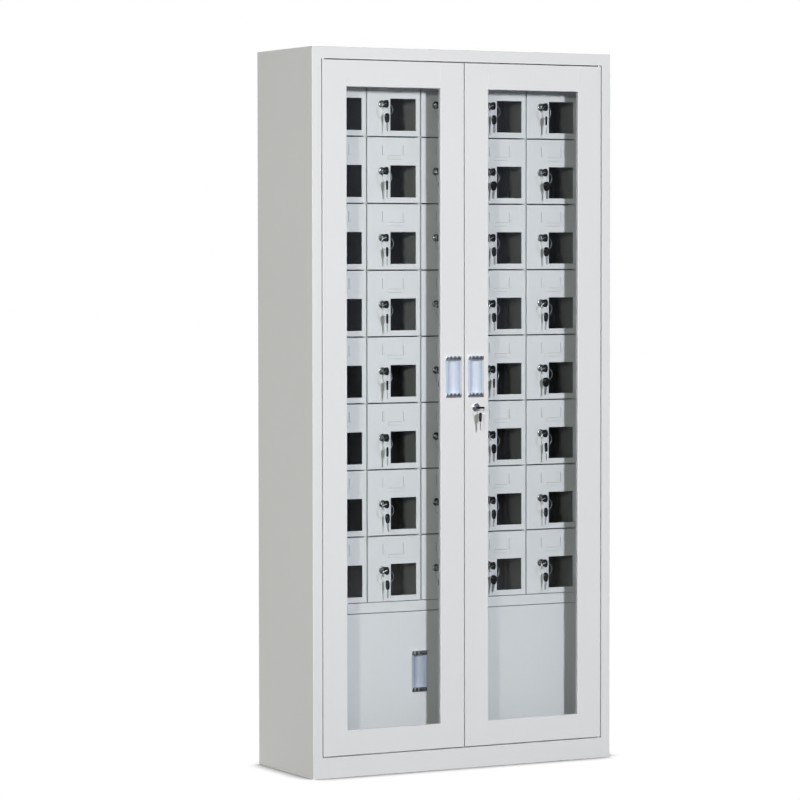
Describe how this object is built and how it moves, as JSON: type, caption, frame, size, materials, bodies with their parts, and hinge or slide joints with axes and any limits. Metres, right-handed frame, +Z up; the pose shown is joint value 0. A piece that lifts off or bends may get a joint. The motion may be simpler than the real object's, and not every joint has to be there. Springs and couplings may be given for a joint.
{
  "type": "cell phone locker cabinet",
  "caption": "Tall steel cabinet with two glazed doors, a grid of small phone lockers with windows and keyed locks behind them, and a low cupboard.",
  "frame": {"origin": "on the floor, under the middle of the whole part, the key that stands out of the front included", "axes": "+Z up, the doors face -Y, +X to the right of someone who looks at the doors"},
  "size_m": [0.85, 0.344, 1.8],
  "materials": {
    "paint": "powder coat, satin",
    "locker_paint": "powder coat, satin",
    "clear_glass": "clear float glass",
    "plating": "bright plating",
    "key_metal": "nickel plating",
    "pin_steel": "drawn steel"
  },
  "bodies": {
    "cabinet": {"side_panels": "paint", "top_panel": "paint", "base_panel": "paint", "back_panel": "paint", "nest_frame": "paint", "locker_partitions": "paint", "locker_shelves": "paint", "hinge_pins": "pin_steel"},
    "left_door": {"glazed_door_left": "paint", "door_glass_left": "clear_glass", "door_pull_left": "plating"},
    "right_door": {"glazed_door_right": "paint", "door_glass_right": "clear_glass", "door_pull_right": "plating", "door_lock_barrel": "plating"},
    "door_key": {"door_lock_key": "key_metal"},
    "cupboard_left": {"cupboard_door_left": "paint", "cupboard_pull_left": "plating"},
    "cupboard_right": {"cupboard_door_right": "paint", "cupboard_pull_right": "plating"},
    "locker_1_1": {"locker_door_1_1": "locker_paint"},
    "locker_1_2": {"locker_door_1_2": "locker_paint"},
    "locker_1_3": {"locker_door_1_3": "locker_paint"},
    "locker_1_4": {"locker_door_1_4": "locker_paint"},
    "locker_1_5": {"locker_door_1_5": "locker_paint"},
    "locker_2_1": {"locker_door_2_1": "locker_paint"},
    "locker_2_2": {"locker_door_2_2": "locker_paint"},
    "locker_2_3": {"locker_door_2_3": "locker_paint"},
    "locker_2_4": {"locker_door_2_4": "locker_paint"},
    "locker_2_5": {"locker_door_2_5": "locker_paint"},
    "locker_3_1": {"locker_door_3_1": "locker_paint"},
    "locker_3_2": {"locker_door_3_2": "locker_paint"},
    "locker_3_3": {"locker_door_3_3": "locker_paint"},
    "locker_3_4": {"locker_door_3_4": "locker_paint"},
    "locker_3_5": {"locker_door_3_5": "locker_paint"},
    "locker_4_1": {"locker_door_4_1": "locker_paint"},
    "locker_4_2": {"locker_door_4_2": "locker_paint"},
    "locker_4_3": {"locker_door_4_3": "locker_paint"},
    "locker_4_4": {"locker_door_4_4": "locker_paint"},
    "locker_4_5": {"locker_door_4_5": "locker_paint"},
    "locker_5_1": {"locker_door_5_1": "locker_paint"},
    "locker_5_2": {"locker_door_5_2": "locker_paint"},
    "locker_5_3": {"locker_door_5_3": "locker_paint"},
    "locker_5_4": {"locker_door_5_4": "locker_paint"},
    "locker_5_5": {"locker_door_5_5": "locker_paint"},
    "locker_6_1": {"locker_door_6_1": "locker_paint"},
    "locker_6_2": {"locker_door_6_2": "locker_paint"},
    "locker_6_3": {"locker_door_6_3": "locker_paint"},
    "locker_6_4": {"locker_door_6_4": "locker_paint"},
    "locker_6_5": {"locker_door_6_5": "locker_paint"},
    "locker_7_1": {"locker_door_7_1": "locker_paint"},
    "locker_7_2": {"locker_door_7_2": "locker_paint"},
    "locker_7_3": {"locker_door_7_3": "locker_paint"},
    "locker_7_4": {"locker_door_7_4": "locker_paint"},
    "locker_7_5": {"locker_door_7_5": "locker_paint"},
    "locker_8_1": {"locker_door_8_1": "locker_paint"},
    "locker_8_2": {"locker_door_8_2": "locker_paint"},
    "locker_8_3": {"locker_door_8_3": "locker_paint"},
    "locker_8_4": {"locker_door_8_4": "locker_paint"},
    "locker_8_5": {"locker_door_8_5": "locker_paint"}
  },
  "joints": [
    {"name": "left_door_hinge", "type": "hinge", "parent": "cabinet", "child": "left_door", "pos_m": [-0.392, -0.133, 0], "axis": [0, 0, -1], "range_deg": [0, 105]},
    {"name": "right_door_hinge", "type": "hinge", "parent": "cabinet", "child": "right_door", "pos_m": [0.392, -0.133, 0], "axis": [0, 0, 1], "range_deg": [0, 105]},
    {"name": "door_key_turn", "type": "hinge", "parent": "right_door", "child": "door_key", "pos_m": [0.032, -0.138, 0.9075], "axis": [0, 1, 0], "range_deg": [0, 90]},
    {"name": "cupboard_left_hinge", "type": "hinge", "parent": "cabinet", "child": "cupboard_left", "pos_m": [-0.3745, -0.044, 0], "axis": [0, 0, -1], "range_deg": [0, 10]},
    {"name": "cupboard_right_hinge", "type": "hinge", "parent": "cabinet", "child": "cupboard_right", "pos_m": [0.3745, -0.044, 0], "axis": [0, 0, 1], "range_deg": [0, 10]},
    {"name": "locker_1_1_hinge", "type": "hinge", "parent": "cabinet", "child": "locker_1_1", "pos_m": [-0.2344, -0.045, 0], "axis": [0, 0, 1], "range_deg": [0, 15]},
    {"name": "locker_1_2_hinge", "type": "hinge", "parent": "cabinet", "child": "locker_1_2", "pos_m": [-0.0818, -0.045, 0], "axis": [0, 0, 1], "range_deg": [0, 15]},
    {"name": "locker_1_3_hinge", "type": "hinge", "parent": "cabinet", "child": "locker_1_3", "pos_m": [0.0708, -0.045, 0], "axis": [0, 0, 1], "range_deg": [0, 15]},
    {"name": "locker_1_4_hinge", "type": "hinge", "parent": "cabinet", "child": "locker_1_4", "pos_m": [0.2234, -0.045, 0], "axis": [0, 0, 1], "range_deg": [0, 15]},
    {"name": "locker_1_5_hinge", "type": "hinge", "parent": "cabinet", "child": "locker_1_5", "pos_m": [0.376, -0.045, 0], "axis": [0, 0, 1], "range_deg": [0, 15]},
    {"name": "locker_2_1_hinge", "type": "hinge", "parent": "cabinet", "child": "locker_2_1", "pos_m": [-0.2344, -0.045, 0], "axis": [0, 0, 1], "range_deg": [0, 15]},
    {"name": "locker_2_2_hinge", "type": "hinge", "parent": "cabinet", "child": "locker_2_2", "pos_m": [-0.0818, -0.045, 0], "axis": [0, 0, 1], "range_deg": [0, 15]},
    {"name": "locker_2_3_hinge", "type": "hinge", "parent": "cabinet", "child": "locker_2_3", "pos_m": [0.0708, -0.045, 0], "axis": [0, 0, 1], "range_deg": [0, 15]},
    {"name": "locker_2_4_hinge", "type": "hinge", "parent": "cabinet", "child": "locker_2_4", "pos_m": [0.2234, -0.045, 0], "axis": [0, 0, 1], "range_deg": [0, 15]},
    {"name": "locker_2_5_hinge", "type": "hinge", "parent": "cabinet", "child": "locker_2_5", "pos_m": [0.376, -0.045, 0], "axis": [0, 0, 1], "range_deg": [0, 15]},
    {"name": "locker_3_1_hinge", "type": "hinge", "parent": "cabinet", "child": "locker_3_1", "pos_m": [-0.2344, -0.045, 0], "axis": [0, 0, 1], "range_deg": [0, 15]},
    {"name": "locker_3_2_hinge", "type": "hinge", "parent": "cabinet", "child": "locker_3_2", "pos_m": [-0.0818, -0.045, 0], "axis": [0, 0, 1], "range_deg": [0, 15]},
    {"name": "locker_3_3_hinge", "type": "hinge", "parent": "cabinet", "child": "locker_3_3", "pos_m": [0.0708, -0.045, 0], "axis": [0, 0, 1], "range_deg": [0, 15]},
    {"name": "locker_3_4_hinge", "type": "hinge", "parent": "cabinet", "child": "locker_3_4", "pos_m": [0.2234, -0.045, 0], "axis": [0, 0, 1], "range_deg": [0, 15]},
    {"name": "locker_3_5_hinge", "type": "hinge", "parent": "cabinet", "child": "locker_3_5", "pos_m": [0.376, -0.045, 0], "axis": [0, 0, 1], "range_deg": [0, 15]},
    {"name": "locker_4_1_hinge", "type": "hinge", "parent": "cabinet", "child": "locker_4_1", "pos_m": [-0.2344, -0.045, 0], "axis": [0, 0, 1], "range_deg": [0, 15]},
    {"name": "locker_4_2_hinge", "type": "hinge", "parent": "cabinet", "child": "locker_4_2", "pos_m": [-0.0818, -0.045, 0], "axis": [0, 0, 1], "range_deg": [0, 15]},
    {"name": "locker_4_3_hinge", "type": "hinge", "parent": "cabinet", "child": "locker_4_3", "pos_m": [0.0708, -0.045, 0], "axis": [0, 0, 1], "range_deg": [0, 15]},
    {"name": "locker_4_4_hinge", "type": "hinge", "parent": "cabinet", "child": "locker_4_4", "pos_m": [0.2234, -0.045, 0], "axis": [0, 0, 1], "range_deg": [0, 15]},
    {"name": "locker_4_5_hinge", "type": "hinge", "parent": "cabinet", "child": "locker_4_5", "pos_m": [0.376, -0.045, 0], "axis": [0, 0, 1], "range_deg": [0, 15]},
    {"name": "locker_5_1_hinge", "type": "hinge", "parent": "cabinet", "child": "locker_5_1", "pos_m": [-0.2344, -0.045, 0], "axis": [0, 0, 1], "range_deg": [0, 15]},
    {"name": "locker_5_2_hinge", "type": "hinge", "parent": "cabinet", "child": "locker_5_2", "pos_m": [-0.0818, -0.045, 0], "axis": [0, 0, 1], "range_deg": [0, 15]},
    {"name": "locker_5_3_hinge", "type": "hinge", "parent": "cabinet", "child": "locker_5_3", "pos_m": [0.0708, -0.045, 0], "axis": [0, 0, 1], "range_deg": [0, 15]},
    {"name": "locker_5_4_hinge", "type": "hinge", "parent": "cabinet", "child": "locker_5_4", "pos_m": [0.2234, -0.045, 0], "axis": [0, 0, 1], "range_deg": [0, 15]},
    {"name": "locker_5_5_hinge", "type": "hinge", "parent": "cabinet", "child": "locker_5_5", "pos_m": [0.376, -0.045, 0], "axis": [0, 0, 1], "range_deg": [0, 15]},
    {"name": "locker_6_1_hinge", "type": "hinge", "parent": "cabinet", "child": "locker_6_1", "pos_m": [-0.2344, -0.045, 0], "axis": [0, 0, 1], "range_deg": [0, 15]},
    {"name": "locker_6_2_hinge", "type": "hinge", "parent": "cabinet", "child": "locker_6_2", "pos_m": [-0.0818, -0.045, 0], "axis": [0, 0, 1], "range_deg": [0, 15]},
    {"name": "locker_6_3_hinge", "type": "hinge", "parent": "cabinet", "child": "locker_6_3", "pos_m": [0.0708, -0.045, 0], "axis": [0, 0, 1], "range_deg": [0, 15]},
    {"name": "locker_6_4_hinge", "type": "hinge", "parent": "cabinet", "child": "locker_6_4", "pos_m": [0.2234, -0.045, 0], "axis": [0, 0, 1], "range_deg": [0, 15]},
    {"name": "locker_6_5_hinge", "type": "hinge", "parent": "cabinet", "child": "locker_6_5", "pos_m": [0.376, -0.045, 0], "axis": [0, 0, 1], "range_deg": [0, 15]},
    {"name": "locker_7_1_hinge", "type": "hinge", "parent": "cabinet", "child": "locker_7_1", "pos_m": [-0.2344, -0.045, 0], "axis": [0, 0, 1], "range_deg": [0, 15]},
    {"name": "locker_7_2_hinge", "type": "hinge", "parent": "cabinet", "child": "locker_7_2", "pos_m": [-0.0818, -0.045, 0], "axis": [0, 0, 1], "range_deg": [0, 15]},
    {"name": "locker_7_3_hinge", "type": "hinge", "parent": "cabinet", "child": "locker_7_3", "pos_m": [0.0708, -0.045, 0], "axis": [0, 0, 1], "range_deg": [0, 15]},
    {"name": "locker_7_4_hinge", "type": "hinge", "parent": "cabinet", "child": "locker_7_4", "pos_m": [0.2234, -0.045, 0], "axis": [0, 0, 1], "range_deg": [0, 15]},
    {"name": "locker_7_5_hinge", "type": "hinge", "parent": "cabinet", "child": "locker_7_5", "pos_m": [0.376, -0.045, 0], "axis": [0, 0, 1], "range_deg": [0, 15]},
    {"name": "locker_8_1_hinge", "type": "hinge", "parent": "cabinet", "child": "locker_8_1", "pos_m": [-0.2344, -0.045, 0], "axis": [0, 0, 1], "range_deg": [0, 15]},
    {"name": "locker_8_2_hinge", "type": "hinge", "parent": "cabinet", "child": "locker_8_2", "pos_m": [-0.0818, -0.045, 0], "axis": [0, 0, 1], "range_deg": [0, 15]},
    {"name": "locker_8_3_hinge", "type": "hinge", "parent": "cabinet", "child": "locker_8_3", "pos_m": [0.0708, -0.045, 0], "axis": [0, 0, 1], "range_deg": [0, 15]},
    {"name": "locker_8_4_hinge", "type": "hinge", "parent": "cabinet", "child": "locker_8_4", "pos_m": [0.2234, -0.045, 0], "axis": [0, 0, 1], "range_deg": [0, 15]},
    {"name": "locker_8_5_hinge", "type": "hinge", "parent": "cabinet", "child": "locker_8_5", "pos_m": [0.376, -0.045, 0], "axis": [0, 0, 1], "range_deg": [0, 15]}
  ]
}
